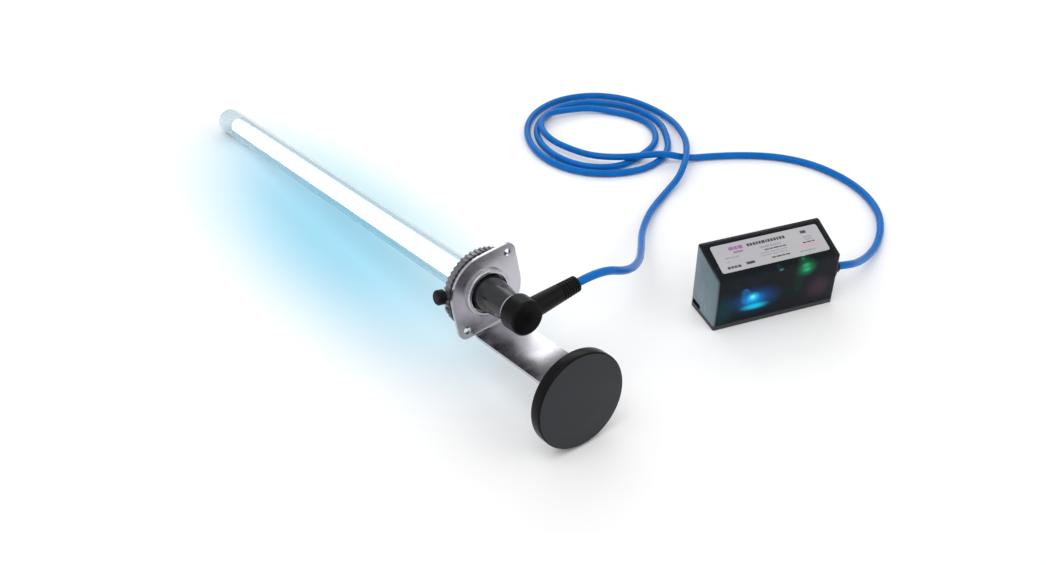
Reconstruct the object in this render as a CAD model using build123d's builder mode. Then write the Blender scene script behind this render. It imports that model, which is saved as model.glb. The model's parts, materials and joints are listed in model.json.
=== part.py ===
"""Magnet-mounted germicidal lamp kit: quartz lamp on a bracket, lead and remote power supply.

Units are millimetres. The origin is the centre of the power supply's underside, +X runs along its
front edge, +Y to its back and +Z up. Everything stands or lies on the plane Z = 0.

The lamp has its own frame: its origin is the centre of the bracket plate's front face, its Z axis is
the lamp's axis, away from the lamp's tip, its X axis points along the connector's side arm and its Y
axis points away from the bracket's arm. The lamp leans on the magnet's lower edge and on its own tip.
"""

import os
from math import asin, atan2, cos, hypot, pi, radians, sin, tan

from build123d import *

os.makedirs("parts", exist_ok=True)

# ---------------------------------------------------------------- driving dimensions

# lamp tubes
sleeve_d = 19.0
sleeve_wall = 1.2
sleeve_length = 352.0  # plate face to the centre of the dome
tube_d = 11.0
tube_wall = 0.8
tip_clearance = 20.0  # dome's end to the inner tube's end
wire_d = 0.8
insulator_d = 2.0
glass_gap = 0.1

# bracket
sheet_t = 2.0
plate_r = 23.2
ear_r = 5.5
ear_reach = 24.6
ear_angle = 45.0
ear_hole_d = 4.5
arm_w = 26.0
arm_drop = 23.4  # lamp axis to the arm's upper face
arm_length = 69.6  # plate's front face to the magnet's back
bend_r = 2.0

# collar, lock ring and lamp base
collar_r = 14.2
collar_front = 2.6
collar_recess_r = 12.0
collar_recess = 0.5
thread_r = 13.0
thread_length = 8.5
base_r = 11.2
base_front = -1.0
base_end_wall = 2.2
ring_r = 24.3
ring_t = 4.6
ring_teeth = 48
tooth_depth = 0.7
gasket_t = 0.8
gasket_r = 19.0
fit_gap = 0.1

# clamp knob on the lock ring
knob_r = 4.3
knob_length = 5.6
knob_angle = 163.0
knob_standoff = 0.8
clamp_screw_d = 3.0
clamp_screw_gap = 0.25
grub_angle = 184.0
grub_d = 2.6
grub_length = 4.0

# magnet
magnet_d = 57.0
magnet_t = 7.6
magnet_edge_r = 1.2
magnet_drop = 35.0  # lamp axis to the magnet's centre
cover_skin = 0.8
cover_rim = 1.5
magnet_plate_t = 2.4
slug_d = 11.0
slug_t = 3.0
slug_count = 8
slug_pcd = 36.0
bush_r = 4.5
magnet_screw_d = 4.0
screw_head_r = 3.8
screw_head_t = 2.2
washer_t = 0.8
washer_r = 4.6

# connector
pin_d = 2.0
pin_pcd = 9.0
pin_count = 4
pin_length = 9.0
contact_d = 3.0
socket_start = 1.0
socket_end = 24.0
socket_r_start = 10.8
socket_r_end = 7.8
socket_wall = 1.5
block_length = 11.0
band_t = 2.0
band_r = 8.6
head_r = 10.3
head_length = 12.5
head_edge_r = 1.6
arm_root_d = 10.5
arm_root_end = 14.0
relief_end = 38.0
relief_root_d = 9.6
relief_tip_d = 7.4
relief_grooves = 5

# lead
cord_d = 5.0
coil_x = -5.5
coil_y = 232.0
coil_outer_r = 66.0
coil_inner_r = 40.0
coil_h = 10.0

# power supply
supply_w = 84.0
supply_d = 29.0
front_h = 36.5
back_h = 46.2
top_ledge = 2.6
cover_wall = 1.8
cover_edge_r = 1.4
base_t = 3.0
base_spigot = 2.0
notch_y = 8.0
notch_w = 9.0
notch_h = 3.4
mount_hole_d = 4.2
mount_hole_span = 58.0
label_t = 0.4
label_margin = 5.0
label_top_margin = 3.0
board_t = 1.6
board_z = 10.0
board_gap = 1.2
gland_y = -6.0
gland_z = 20.5
gland_flange_d = 13.0
gland_reach = 6.0
gland_thread_d = 8.0
gland_nut_d = 12.0
gland_nut_t = 3.0
inlet_x = -26.0
inlet_z = 24.0
inlet_bore_d = 6.0
inlet_d = 10.0

# where the lamp's plate stands, and which way the lamp points
lamp_x = -180.0
lamp_y = 3.4
lamp_heading = -73.7
lamp_roll = 5.3

# ---------------------------------------------------------------- the lamp's frame

sleeve_r = sleeve_d / 2
magnet_r = magnet_d / 2

# the tilt at which the dome and the magnet's rounded lower edge both touch Z = 0
lean_run = sleeve_length + arm_length + magnet_edge_r
lean_drop = magnet_drop * cos(radians(lamp_roll)) + magnet_r - magnet_edge_r
lean = atan2(lean_drop, lean_run) - asin((sleeve_r - magnet_edge_r) / hypot(lean_run, lean_drop))
plate_height = sleeve_r + sleeve_length * sin(lean)

heading = radians(lamp_heading)
lamp_origin = (lamp_x, lamp_y, plate_height)
lamp_dir = (cos(lean) * cos(heading), cos(lean) * sin(heading), sin(lean))
level = Vector(-sin(heading), cos(heading), 0)
uphill = Vector(lamp_dir).cross(level)
arm_dir = level * cos(radians(lamp_roll)) + uphill * sin(radians(lamp_roll))
lamp = Plane(origin=lamp_origin, x_dir=arm_dir, z_dir=lamp_dir)
lamp_axis = Axis(lamp.origin, lamp.z_dir)

# half planes through the axis: the sketch's X is the lamp's Z, and its Y is the radius
lamp_side = Plane(origin=lamp.origin, x_dir=lamp.z_dir, z_dir=-lamp.x_dir)


def on_lamp(x, y, z):
    """A point of the lamp's frame, in the model's frame."""
    return lamp.from_local_coords(Vector(x, y, z))


def radial_plane(angle, radius, z):
    """A plane at a radius from the lamp's axis, facing straight out from it."""
    outward = lamp.x_dir * cos(radians(angle)) + lamp.y_dir * sin(radians(angle))
    return Plane(origin=on_lamp(0, 0, z) + outward * radius, x_dir=lamp.z_dir, z_dir=outward)


# ---------------------------------------------------------------- bracket

ear_x = ear_reach * cos(radians(ear_angle))
ear_y = ear_reach * sin(radians(ear_angle))
bracket_bore_r = thread_r + fit_gap

with BuildPart() as mounting_bracket:
    with BuildSketch(lamp.offset(-sheet_t)):
        Circle(plate_r)
        with Locations((ear_x, ear_y), (-ear_x, -ear_y)):
            Circle(ear_r)
        make_hull()
        with Locations((0, -(arm_drop - bend_r) / 2)):
            Rectangle(arm_w, arm_drop - bend_r)
    extrude(amount=sheet_t)
    with BuildSketch(lamp_side):
        with BuildLine():
            FilletPolyline(
                (-sheet_t / 2, -arm_drop / 2),
                (-sheet_t / 2, -arm_drop - sheet_t / 2),
                (arm_length - sheet_t / 2, -arm_drop - sheet_t / 2),
                (arm_length - sheet_t / 2, -magnet_drop - 1),
                radius=bend_r + sheet_t / 2,
            )
        trace(line_width=sheet_t)
    extrude(amount=arm_w / 2, both=True)
    with BuildSketch(lamp.offset(arm_length - sheet_t)):
        with Locations((0, -magnet_drop)):
            Circle(arm_w / 2)
    extrude(amount=sheet_t)
    with BuildSketch(lamp.offset(-2 * sheet_t)):
        Circle(bracket_bore_r)
        with Locations((ear_x, ear_y), (-ear_x, -ear_y)):
            Circle(ear_hole_d / 2)
    extrude(amount=4 * sheet_t, mode=Mode.SUBTRACT)
    with BuildSketch(lamp.offset(arm_length - 2 * sheet_t)):
        with Locations((0, -magnet_drop)):
            Circle(magnet_screw_d / 2 + fit_gap)
    extrude(amount=3 * sheet_t, mode=Mode.SUBTRACT)
mounting_bracket.part.label = "mounting_bracket"
export_step(mounting_bracket.part, "parts/mounting_bracket.step")

# ---------------------------------------------------------------- collar, ring and lamp base

base_bore_r = base_r + fit_gap

with BuildPart() as lamp_collar:
    with BuildSketch(lamp_side):
        with BuildLine():
            Polyline(
                (-thread_length, base_bore_r),
                (-thread_length, thread_r),
                (0, thread_r),
                (0, collar_r),
                (collar_front - 0.6, collar_r),
                (collar_front, collar_r - 0.6),
                (collar_front, collar_recess_r),
                (-collar_recess, collar_recess_r),
                (-collar_recess, base_bore_r),
                close=True,
            )
        make_face()
    revolve(axis=lamp_axis)
lamp_collar.part.label = "lamp_collar"
export_step(lamp_collar.part, "parts/lamp_collar.step")

gasket_back = -sheet_t - gasket_t
ring_back = gasket_back - ring_t
ring_middle = gasket_back - ring_t / 2
ring_bore_r = thread_r + fit_gap / 2

with BuildPart() as ring_gasket:
    with BuildSketch(lamp.offset(gasket_back)):
        Circle(gasket_r)
        Circle(bracket_bore_r, mode=Mode.SUBTRACT)
    extrude(amount=gasket_t - 0.02)
ring_gasket.part.label = "ring_gasket"
export_step(ring_gasket.part, "parts/ring_gasket.step")

ring_front_gap = 0.15

with BuildPart() as lock_ring:
    with BuildSketch(lamp.offset(ring_back)):
        Circle(ring_r)
        with PolarLocations(ring_r, ring_teeth):
            Rectangle(2 * tooth_depth, pi * ring_r / ring_teeth, mode=Mode.SUBTRACT)
        Circle(ring_bore_r, mode=Mode.SUBTRACT)
    extrude(amount=ring_t - ring_front_gap)
    with BuildSketch(radial_plane(knob_angle, ring_bore_r, ring_middle)):
        Circle(clamp_screw_d / 2 + fit_gap / 2)
    extrude(amount=ring_r, mode=Mode.SUBTRACT)
    with BuildSketch(radial_plane(grub_angle, ring_r - grub_length + 0.6, ring_middle)):
        Circle(grub_d / 2)
    extrude(amount=ring_r, mode=Mode.SUBTRACT)
lock_ring.part.label = "lock_ring"
export_step(lock_ring.part, "parts/lock_ring.step")

with BuildPart() as grub_screw:
    with BuildSketch(radial_plane(grub_angle, ring_r - grub_length + 0.6, ring_middle)):
        Circle(grub_d / 2)
    extrude(amount=grub_length)
grub_screw.part.label = "grub_screw"
export_step(grub_screw.part, "parts/grub_screw.step")

knob_inner = ring_r + knob_standoff
clamp_screw_start = ring_bore_r + clamp_screw_gap

with BuildPart() as clamp_screw:
    with BuildSketch(radial_plane(knob_angle, clamp_screw_start, ring_middle)):
        Circle(clamp_screw_d / 2)
    extrude(amount=knob_inner + knob_length / 2 - clamp_screw_start)
clamp_screw.part.label = "clamp_screw"
export_step(clamp_screw.part, "parts/clamp_screw.step")

with BuildPart() as clamp_knob:
    with BuildSketch(radial_plane(knob_angle, knob_inner, ring_middle)):
        Circle(knob_r)
    extrude(amount=knob_length)
    chamfer(clamp_knob.edges(), length=0.7)
    with BuildSketch(radial_plane(knob_angle, knob_inner, ring_middle)):
        Circle(clamp_screw_d / 2)
    extrude(amount=knob_length / 2, mode=Mode.SUBTRACT)
clamp_knob.part.label = "clamp_knob"
export_step(clamp_knob.part, "parts/clamp_knob.step")

sleeve_grip_end = base_front - base_end_wall
sleeve_seat_r = sleeve_r + glass_gap

with BuildPart() as lamp_base:
    with BuildSketch(lamp.offset(-thread_length + 0.5)):
        Circle(base_r)
    extrude(amount=thread_length - 0.5 + base_front)
    with BuildSketch(lamp.offset(-thread_length)):
        Circle(sleeve_seat_r)
    extrude(amount=thread_length + sleeve_grip_end, mode=Mode.SUBTRACT)
    with BuildSketch(lamp.offset(sleeve_grip_end)):
        with PolarLocations(pin_pcd / 2, pin_count, start_angle=45):
            Circle(pin_d / 2)
    extrude(amount=base_end_wall, mode=Mode.SUBTRACT)
lamp_base.part.label = "lamp_base"
export_step(lamp_base.part, "parts/lamp_base.step")

with BuildPart() as contact_pins:
    with BuildSketch(lamp.offset(sleeve_grip_end)):
        with PolarLocations(pin_pcd / 2, pin_count, start_angle=45):
            Circle(pin_d / 2)
    extrude(amount=-sleeve_grip_end + pin_length)
contact_pins.part.label = "contact_pins"
export_step(contact_pins.part, "parts/contact_pins.step")

# ---------------------------------------------------------------- quartz sleeve and lamp

sleeve_start = sleeve_grip_end - glass_gap
sleeve_bore_r = sleeve_r - sleeve_wall

with BuildPart() as quartz_sleeve:
    with BuildSketch(lamp_side):
        with BuildLine():
            Line((-sleeve_length, sleeve_r), (sleeve_start, sleeve_r))
            Line((sleeve_start, sleeve_r), (sleeve_start, sleeve_bore_r))
            Line((sleeve_start, sleeve_bore_r), (-sleeve_length, sleeve_bore_r))
            CenterArc((-sleeve_length, 0), sleeve_bore_r, 90, 90)
            Line((-sleeve_length - sleeve_bore_r, 0), (-sleeve_length - sleeve_r, 0))
            CenterArc((-sleeve_length, 0), sleeve_r, 90, 90)
        make_face()
    revolve(axis=lamp_axis)
quartz_sleeve.part.label = "quartz_sleeve"
export_step(quartz_sleeve.part, "parts/quartz_sleeve.step")

tube_r = tube_d / 2
tube_bore_r = tube_r - tube_wall
tube_tip = -(sleeve_length + sleeve_r - tip_clearance)
cap_end = sleeve_start - 9.0
tube_start = cap_end + 3.0

with BuildPart() as lamp_tube:
    with BuildSketch(lamp_side):
        with BuildLine():
            Line((tube_tip + tube_r, tube_r), (tube_start, tube_r))
            Line((tube_start, tube_r), (tube_start, 0))
            Line((tube_start, 0), (tube_start - 2 * tube_wall, 0))
            Line((tube_start - 2 * tube_wall, 0), (tube_start - 2 * tube_wall, tube_bore_r))
            Line((tube_start - 2 * tube_wall, tube_bore_r), (tube_tip + tube_r, tube_bore_r))
            CenterArc((tube_tip + tube_r, 0), tube_bore_r, 90, 90)
            Line((tube_tip + tube_r - tube_bore_r, 0), (tube_tip, 0))
            CenterArc((tube_tip + tube_r, 0), tube_r, 90, 90)
        make_face()
    revolve(axis=lamp_axis)
lamp_tube.part.label = "lamp_tube"
export_step(lamp_tube.part, "parts/lamp_tube.step")

cap_r = sleeve_bore_r - 0.3
cap_seat_r = tube_r + glass_gap
wire_y = -(tube_r + insulator_d / 2 + 0.4)

with BuildPart() as ceramic_cap:
    with BuildSketch(lamp.offset(cap_end)):
        Circle(cap_r)
    extrude(amount=sleeve_start - cap_end)
    with BuildSketch(lamp.offset(cap_end)):
        Circle(cap_seat_r)
    extrude(amount=tube_start - cap_end + glass_gap, mode=Mode.SUBTRACT)
    with BuildSketch(lamp.offset(cap_end)):
        with Locations((0, wire_y)):
            Circle(insulator_d / 2 + glass_gap / 2)
    extrude(amount=sleeve_start - cap_end, mode=Mode.SUBTRACT)
ceramic_cap.part.label = "ceramic_cap"
export_step(ceramic_cap.part, "parts/ceramic_cap.step")

spacer_z = tube_tip + tube_r + 6.0
spacer_t = 2.0

with BuildPart() as tip_spacer:
    with BuildSketch(lamp.offset(spacer_z)):
        Circle(sleeve_bore_r - glass_gap)
        Circle(tube_r + glass_gap, mode=Mode.SUBTRACT)
        with Locations((0, wire_y)):
            Circle(insulator_d / 2 + glass_gap / 2, mode=Mode.SUBTRACT)
    extrude(amount=spacer_t)
tip_spacer.part.label = "tip_spacer"
export_step(tip_spacer.part, "parts/tip_spacer.step")

insulator_tip = tube_tip + tube_r
with BuildPart() as wire_insulator:
    with BuildSketch(lamp.offset(insulator_tip)):
        with Locations((0, wire_y)):
            Circle(insulator_d / 2)
            Circle(wire_d / 2 + 0.05, mode=Mode.SUBTRACT)
    extrude(amount=cap_end + 4.0 - insulator_tip)
wire_insulator.part.label = "wire_insulator"
export_step(wire_insulator.part, "parts/wire_insulator.step")

with BuildPart() as return_wire:
    with BuildSketch(lamp.offset(insulator_tip - 3.0)):
        with Locations((0, wire_y)):
            Circle(wire_d / 2)
    extrude(amount=sleeve_start + 3.0 - insulator_tip)
return_wire.part.label = "return_wire"
export_step(return_wire.part, "parts/return_wire.step")

filament_r = 0.9
filament_length = 5.0
lead_in_x = 2.0
lead_in_r = 0.35
lead_in_length = 8.0


def electrode(name, wall_z, inward):
    """A coiled filament across the tube, on two lead-in wires from the tube's end wall."""
    filament_z = wall_z + inward * lead_in_length
    coil_plane = Plane(on_lamp(-filament_length / 2, 0, filament_z), x_dir=lamp.y_dir, z_dir=lamp.x_dir)
    with BuildPart() as piece:
        with BuildSketch(coil_plane):
            Circle(filament_r)
        extrude(amount=filament_length)
        with BuildSketch(lamp.offset(wall_z)):
            with Locations((lead_in_x, 0), (-lead_in_x, 0)):
                Circle(lead_in_r)
        extrude(amount=inward * lead_in_length)
    piece.part.label = name
    export_step(piece.part, f"parts/{name}.step")


electrode("electrode_base_end", tube_start - 2 * tube_wall, -1)
electrode("electrode_tip_end", tube_tip + tube_r, 1)

# ---------------------------------------------------------------- magnet

magnet_back = arm_length
plate_front = magnet_back + cover_skin + magnet_plate_t
cover_cavity_r = magnet_r - cover_rim

with BuildPart() as magnet_cover:
    with BuildSketch(lamp.offset(magnet_back)):
        with Locations((0, -magnet_drop)):
            Circle(magnet_r)
    extrude(amount=magnet_t)
    fillet(magnet_cover.edges(), radius=magnet_edge_r)
    with BuildSketch(lamp.offset(magnet_back + cover_skin)):
        with Locations((0, -magnet_drop)):
            Circle(cover_cavity_r)
    extrude(amount=magnet_plate_t, mode=Mode.SUBTRACT)
    with BuildSketch(lamp.offset(plate_front)):
        with Locations((0, -magnet_drop)):
            with PolarLocations(slug_pcd / 2, slug_count):
                Circle(slug_d / 2)
    extrude(amount=slug_t, mode=Mode.SUBTRACT)
    with BuildSketch(lamp.offset(magnet_back)):
        with Locations((0, -magnet_drop)):
            Circle(bush_r)
    extrude(amount=magnet_t - cover_skin, mode=Mode.SUBTRACT)
magnet_cover.part.label = "magnet_cover"
export_step(magnet_cover.part, "parts/magnet_cover.step")

with BuildPart() as magnet_plate:
    with BuildSketch(lamp.offset(magnet_back + cover_skin)):
        with Locations((0, -magnet_drop)):
            Circle(cover_cavity_r)
            Circle(bush_r, mode=Mode.SUBTRACT)
    extrude(amount=magnet_plate_t)
magnet_plate.part.label = "magnet_plate"
export_step(magnet_plate.part, "parts/magnet_plate.step")

with BuildPart() as magnet_slugs:
    with BuildSketch(lamp.offset(plate_front)):
        with Locations((0, -magnet_drop)):
            with PolarLocations(slug_pcd / 2, slug_count):
                Circle(slug_d / 2)
    extrude(amount=slug_t)
magnet_slugs.part.label = "magnet_slugs"
export_step(magnet_slugs.part, "parts/magnet_slugs.step")

bush_length = magnet_t - cover_skin
with BuildPart() as magnet_bush:
    with BuildSketch(lamp.offset(magnet_back)):
        with Locations((0, -magnet_drop)):
            Circle(bush_r)
    extrude(amount=bush_length)
    with BuildSketch(lamp.offset(magnet_back)):
        with Locations((0, -magnet_drop)):
            Circle(magnet_screw_d / 2)
    extrude(amount=bush_length - 1.5, mode=Mode.SUBTRACT)
magnet_bush.part.label = "magnet_bush"
export_step(magnet_bush.part, "parts/magnet_bush.step")

washer_back = arm_length - sheet_t - washer_t
with BuildPart() as screw_washer:
    with BuildSketch(lamp.offset(washer_back)):
        with Locations((0, -magnet_drop)):
            Circle(washer_r)
            Circle(magnet_screw_d / 2 + fit_gap, mode=Mode.SUBTRACT)
    extrude(amount=washer_t)
screw_washer.part.label = "screw_washer"
export_step(screw_washer.part, "parts/screw_washer.step")

with BuildPart() as magnet_screw:
    with BuildSketch(lamp.offset(washer_back - screw_head_t)):
        with Locations((0, -magnet_drop)):
            Circle(screw_head_r)
    extrude(amount=screw_head_t)
    chamfer(magnet_screw.edges().sort_by(lamp_axis)[0], length=0.6)
    with BuildSketch(lamp.offset(washer_back - screw_head_t)):
        with Locations((0, -magnet_drop)):
            RegularPolygon(1.45, 6)
    extrude(amount=screw_head_t * 0.6, mode=Mode.SUBTRACT)
    with BuildSketch(lamp.offset(washer_back)):
        with Locations((0, -magnet_drop)):
            Circle(magnet_screw_d / 2)
    extrude(amount=washer_t + sheet_t + bush_length - 2.0)
magnet_screw.part.label = "magnet_screw"
export_step(magnet_screw.part, "parts/magnet_screw.step")

# ---------------------------------------------------------------- connector

socket_taper = (socket_r_start - socket_r_end) / (socket_end - socket_start)


def socket_r(z):
    """The tapered socket's outer radius at a height along the lamp's axis."""
    return socket_r_start - socket_taper * (z - socket_start)


socket_wall_end = socket_end - 2.0
with BuildPart() as socket_shell:
    with BuildSketch(lamp_side):
        with BuildLine():
            Polyline(
                (socket_start, socket_r_start - socket_wall),
                (socket_start, socket_r_start),
                (socket_end, socket_r_end),
                (socket_end, 0),
                (socket_wall_end, 0),
                (socket_wall_end, socket_r(socket_wall_end) - socket_wall),
                close=True,
            )
        make_face()
    revolve(axis=lamp_axis)
socket_shell.part.label = "socket_shell"
export_step(socket_shell.part, "parts/socket_shell.step")

block_end = socket_start + block_length
contact_bore_d = pin_d + 0.12
with BuildPart() as contact_block:
    with BuildSketch(lamp_side):
        with BuildLine():
            Polyline(
                (socket_start, 0),
                (socket_start, socket_r_start - socket_wall),
                (block_end, socket_r(block_end) - socket_wall),
                (block_end, 0),
                close=True,
            )
        make_face()
    revolve(axis=lamp_axis)
    with BuildSketch(lamp.offset(socket_start)):
        with PolarLocations(pin_pcd / 2, pin_count, start_angle=45):
            Circle(contact_d / 2)
    extrude(amount=block_length, mode=Mode.SUBTRACT)
contact_block.part.label = "contact_block"
export_step(contact_block.part, "parts/contact_block.step")

with BuildPart() as socket_contacts:
    with BuildSketch(lamp.offset(socket_start)):
        with PolarLocations(pin_pcd / 2, pin_count, start_angle=45):
            Circle(contact_d / 2)
            Circle(contact_bore_d / 2, mode=Mode.SUBTRACT)
    extrude(amount=block_length)
socket_contacts.part.label = "socket_contacts"
export_step(socket_contacts.part, "parts/socket_contacts.step")

band_end = socket_end + band_t
with BuildPart() as connector_band:
    with BuildSketch(lamp.offset(socket_end)):
        Circle(band_r)
    extrude(amount=band_t)
    chamfer(connector_band.edges(), length=0.4)
connector_band.part.label = "connector_band"
export_step(connector_band.part, "parts/connector_band.step")

head_end = band_end + head_length
arm_z = band_end + head_length / 2
arm_plane = Plane(origin=on_lamp(0, 0, arm_z), x_dir=lamp.y_dir, z_dir=lamp.x_dir)
with BuildPart() as connector_head:
    with BuildSketch(lamp.offset(band_end)):
        Circle(head_r)
    extrude(amount=head_length)
    fillet(connector_head.edges(), radius=head_edge_r)
    with BuildSketch(arm_plane):
        Circle(arm_root_d / 2)
    extrude(amount=arm_root_end)
connector_head.part.label = "connector_head"
export_step(connector_head.part, "parts/connector_head.step")

relief_start = arm_root_end
relief_length = relief_end - relief_start
relief_taper = (relief_root_d - relief_tip_d) / 2 / relief_length
groove_pitch = relief_length * 0.5 / relief_grooves
with BuildPart() as strain_relief:
    with BuildSketch(arm_plane.offset(relief_start)):
        Circle(relief_root_d / 2)
    with BuildSketch(arm_plane.offset(relief_end)):
        Circle(relief_tip_d / 2)
    loft()
    for index in range(relief_grooves):
        groove_x = relief_end - 1.2 - index * groove_pitch
        groove_r = relief_tip_d / 2 + relief_taper * (relief_end - groove_x)
        with BuildSketch(arm_plane.offset(groove_x)):
            Circle(groove_r + 1)
            Circle(groove_r - 0.6, mode=Mode.SUBTRACT)
        extrude(amount=-0.8, mode=Mode.SUBTRACT)
strain_relief.part.label = "strain_relief"
export_step(strain_relief.part, "parts/strain_relief.step")

# ---------------------------------------------------------------- lead

relief_exit = on_lamp(relief_end, 0, arm_z)
lamp_lead_points = [
    relief_exit,
    relief_exit + lamp.x_dir * 18.0,
    (-96, 3, 55),
    (-74, 28, 42),
    (-56, 57, 26),
    (-40, 88, 12),
    (-22, 114, 4),
    (-1, 134, 2.5),
    (16, 146, 5),
    (29, 161, 8.5),
    (40, 181, 8.5),
    (47, 200, 6.5),
]
supply_lead_points = [
    (8, 170.5, 2.5),
    (28, 174, 2.5),
    (52, 170, 2.5),
    (78, 163, 2.5),
    (101, 152, 2.5),
    (119, 135, 2.5),
    (130, 112, 2.5),
    (134, 87, 2.5),
    (129, 62, 2.5),
    (115, 40, 2.5),
    (95, 17, 7),
    (84, 4.5, 12.5),
    (72, -3.2, 17.8),
    (supply_w / 2 + gland_reach + 12, gland_y, gland_z),
    (supply_w / 2 + gland_reach, gland_y, gland_z),
]


def corner_radii(points):
    """The largest arc at each corner that its two runs allow."""
    radii = []
    for before, corner, after in zip(points, points[1:], points[2:]):
        run_in = Vector(corner) - Vector(before)
        run_out = Vector(after) - Vector(corner)
        half_turn = radians(run_in.get_angle(run_out)) / 2
        radii.append(0.45 * min(run_in.length, run_out.length) / tan(half_turn))
    return radii


def lead_tube(name, points):
    """A stretch of the lead: straight runs joined by tangent arcs."""
    radii = corner_radii(points)
    print(name, "radii", [round(radius, 1) for radius in radii])
    with BuildPart() as piece:
        with BuildLine() as path:
            FilletPolyline(*points, radius=radii)
        with BuildSketch(Plane(origin=path.line @ 0, z_dir=path.line % 0)):
            Circle(cord_d / 2)
        sweep(path=path.line)
    length = path.wires()[0].length
    expected = pi * cord_d**2 / 4 * length
    print(name, "length", round(length, 1), "volume ratio", round(piece.part.volume / expected, 4))
    piece.part.label = name
    export_step(piece.part, f"parts/{name}.step")


lead_tube("lamp_lead", lamp_lead_points)
lead_tube("supply_lead", supply_lead_points)

with BuildPart() as lead_coil:
    with BuildSketch(Plane.XY):
        with Locations((coil_x, coil_y)):
            Circle(coil_outer_r)
            Circle(coil_inner_r, mode=Mode.SUBTRACT)
    extrude(amount=coil_h)
lead_coil.part.label = "lead_coil"
export_step(lead_coil.part, "parts/lead_coil.step")

# ---------------------------------------------------------------- power supply case

half_w = supply_w / 2
half_d = supply_d / 2
ledge_y = half_d - top_ledge
slope_run = ledge_y + half_d
slope_rise = back_h - front_h
slope_length = hypot(slope_run, slope_rise)
side_plane = Plane(origin=(0, 0, 0), x_dir=(0, 1, 0), z_dir=(1, 0, 0))

with BuildPart() as supply_cover:
    with BuildSketch(side_plane):
        with BuildLine():
            Polyline(
                (-half_d, base_t),
                (-half_d, front_h),
                (ledge_y, back_h),
                (half_d, back_h),
                (half_d, base_t),
                close=True,
            )
        make_face()
    extrude(amount=half_w, both=True)
    fillet(supply_cover.edges().sort_by(Axis.Z)[4:], radius=cover_edge_r)
    with BuildSketch(side_plane):
        with BuildLine():
            Polyline(
                (-half_d + cover_wall, 0),
                (-half_d + cover_wall, front_h - cover_wall),
                (ledge_y - cover_wall / 2, back_h - cover_wall),
                (half_d - cover_wall, back_h - cover_wall),
                (half_d - cover_wall, 0),
                close=True,
            )
        make_face()
    extrude(amount=half_w - cover_wall, both=True, mode=Mode.SUBTRACT)
    with BuildSketch(Plane(origin=(-half_w, notch_y, base_t), x_dir=(0, 1, 0), z_dir=(1, 0, 0))):
        Rectangle(notch_w, 2 * notch_h)
    extrude(amount=2 * cover_wall, both=True, mode=Mode.SUBTRACT)
    with BuildSketch(Plane(origin=(half_w, gland_y, gland_z), x_dir=(0, 1, 0), z_dir=(1, 0, 0))):
        Circle(gland_thread_d / 2)
    extrude(amount=2 * cover_wall, both=True, mode=Mode.SUBTRACT)
    with BuildSketch(Plane(origin=(inlet_x, half_d, inlet_z), x_dir=(1, 0, 0), z_dir=(0, 1, 0))):
        Circle(inlet_d / 2)
    extrude(amount=2 * cover_wall, both=True, mode=Mode.SUBTRACT)
supply_cover.part.label = "supply_cover"
export_step(supply_cover.part, "parts/supply_cover.step")

spigot_w = supply_w - 2 * cover_wall - 2 * fit_gap
spigot_d = supply_d - 2 * cover_wall - 2 * fit_gap
post_x = spigot_w / 2 - 4.0
post_y = spigot_d / 2 - 4.0
post_r = 2.6
post_screw_r = 1.2

with BuildPart() as supply_base:
    with BuildSketch(Plane.XY):
        RectangleRounded(supply_w, supply_d, cover_edge_r)
    extrude(amount=base_t)
    with BuildSketch(Plane.XY.offset(base_t)):
        Rectangle(spigot_w, spigot_d)
        Rectangle(spigot_w - 3.0, spigot_d - 3.0, mode=Mode.SUBTRACT)
    extrude(amount=base_spigot)
    with BuildSketch(Plane.XY.offset(base_t)):
        with GridLocations(2 * post_x, 2 * post_y, 2, 2):
            Circle(post_r)
    extrude(amount=board_z - base_t)
    with BuildSketch(Plane.XY.offset(base_t)):
        with GridLocations(2 * post_x, 2 * post_y, 2, 2):
            Circle(post_screw_r)
    extrude(amount=board_z - base_t, mode=Mode.SUBTRACT)
    with BuildSketch(Plane.XY):
        with GridLocations(mount_hole_span, 1, 2, 1):
            Circle(mount_hole_d / 2)
    extrude(amount=base_t, mode=Mode.SUBTRACT)
supply_base.part.label = "supply_base"
export_step(supply_base.part, "parts/supply_base.step")

slope_dir = Vector(0, slope_run, slope_rise).normalized()
slope_normal = Vector(0, -slope_rise, slope_run).normalized()
label_length = slope_length - label_margin - label_top_margin
label_middle = Vector(0, -half_d, front_h) + slope_dir * (label_margin + label_length / 2)
label_plane = Plane(origin=label_middle, x_dir=(1, 0, 0), z_dir=slope_normal)
with BuildPart() as label_plate:
    with BuildSketch(label_plane):
        RectangleRounded(supply_w - 2 * label_margin, label_length, 1.5)
    extrude(amount=label_t)
label_plate.part.label = "label_plate"
export_step(label_plate.part, "parts/label_plate.step")

# ---------------------------------------------------------------- glands

gland_plane = Plane(origin=(half_w, gland_y, gland_z), x_dir=(0, 1, 0), z_dir=(1, 0, 0))
with BuildPart() as cord_gland:
    with BuildSketch(gland_plane):
        Circle(gland_flange_d / 2)
    extrude(amount=1.6)
    with BuildSketch(gland_plane.offset(1.6)):
        Circle(gland_flange_d / 2 - 1.2)
    with BuildSketch(gland_plane.offset(gland_reach)):
        Circle(cord_d / 2 + 1.0)
    loft()
    with BuildSketch(gland_plane):
        Circle(gland_thread_d / 2)
    extrude(amount=-cover_wall - gland_nut_t - 1.0)
cord_gland.part.label = "cord_gland"
export_step(cord_gland.part, "parts/cord_gland.step")

with BuildPart() as gland_nut:
    with BuildSketch(gland_plane.offset(-cover_wall)):
        RegularPolygon(gland_nut_d / 2, 6)
        Circle(gland_thread_d / 2, mode=Mode.SUBTRACT)
    extrude(amount=-gland_nut_t)
gland_nut.part.label = "gland_nut"
export_step(gland_nut.part, "parts/gland_nut.step")

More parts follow.
